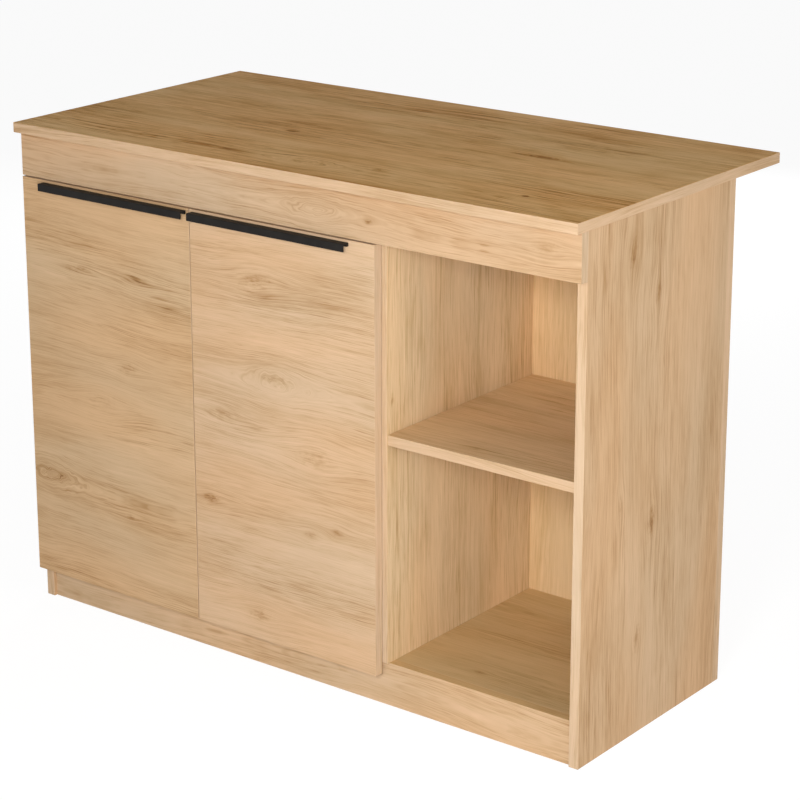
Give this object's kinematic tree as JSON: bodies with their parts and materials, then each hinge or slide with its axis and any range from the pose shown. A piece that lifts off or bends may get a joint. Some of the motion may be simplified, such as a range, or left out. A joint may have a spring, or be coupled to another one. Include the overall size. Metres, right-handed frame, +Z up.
{
  "type": "kitchen island unit",
  "caption": "Free-standing oak-faced kitchen island with a worktop, hinged overlay doors with black edge pulls, and an open niche with a shelf.",
  "frame": {"origin": "on the floor, under the middle of the whole unit's box", "axes": "+X along the front, from the doors to the open niche; +Y from the doors to the back; +Z up"},
  "size_m": [1.2, 0.611, 0.91],
  "materials": {
    "oak_worktop": "matt oak laminate, grain along the unit",
    "oak_front": "matt oak laminate, horizontal grain",
    "oak_side": "matt oak laminate, vertical grain",
    "oak_inside": "matt oak laminate",
    "black_metal": "matt black powder coat on an aluminium section",
    "pin_steel": "nickel-plated steel",
    "hinge_steel": "nickel-plated steel",
    "hinge_zinc": "die-cast zinc"
  },
  "bodies": {
    "carcass": {"worktop": "oak_worktop", "fascia": "oak_front", "plinth": "oak_front", "left_side": "oak_side", "right_side": "oak_side", "divider": "oak_inside", "bottom_panel": "oak_inside", "back_panel": "oak_inside", "niche_shelf": "oak_inside", "cabinet_shelf": "oak_inside", "niche_pin_left_front": "pin_steel", "niche_pin_left_back": "pin_steel", "niche_pin_right_front": "pin_steel", "niche_pin_right_back": "pin_steel", "cabinet_pin_left_front": "pin_steel", "cabinet_pin_left_back": "pin_steel", "cabinet_pin_right_front": "pin_steel", "cabinet_pin_right_back": "pin_steel", "bracket_left_front": "pin_steel", "bracket_left_back": "pin_steel", "bracket_right_front": "pin_steel", "bracket_right_back": "pin_steel", "left_hinge_arm_lower": "hinge_steel", "left_hinge_plate_lower": "hinge_zinc", "left_hinge_arm_upper": "hinge_steel", "left_hinge_plate_upper": "hinge_zinc", "right_hinge_arm_lower": "hinge_steel", "right_hinge_plate_lower": "hinge_zinc", "right_hinge_arm_upper": "hinge_steel", "right_hinge_plate_upper": "hinge_zinc"},
    "left_door": {"left_door": "oak_front", "left_pull": "black_metal", "left_pull_screw_inner": "pin_steel", "left_pull_screw_outer": "pin_steel", "left_hinge_cup_lower": "hinge_steel", "left_hinge_pin_lower": "hinge_steel", "left_hinge_cup_upper": "hinge_steel", "left_hinge_pin_upper": "hinge_steel"},
    "right_door": {"right_door": "oak_front", "right_pull": "black_metal", "right_pull_screw_inner": "pin_steel", "right_pull_screw_outer": "pin_steel", "right_hinge_cup_lower": "hinge_steel", "right_hinge_pin_lower": "hinge_steel", "right_hinge_cup_upper": "hinge_steel", "right_hinge_pin_upper": "hinge_steel"}
  },
  "joints": [
    {"name": "left_door_swing", "type": "hinge", "parent": "carcass", "child": "left_door", "pos_m": [-0.5905, -0.2825, 0.435], "axis": [0, 0, -1], "range_deg": [0, 105]},
    {"name": "right_door_swing", "type": "hinge", "parent": "carcass", "child": "right_door", "pos_m": [0.1965, -0.2825, 0.435], "axis": [0, 0, 1], "range_deg": [0, 105]}
  ]
}
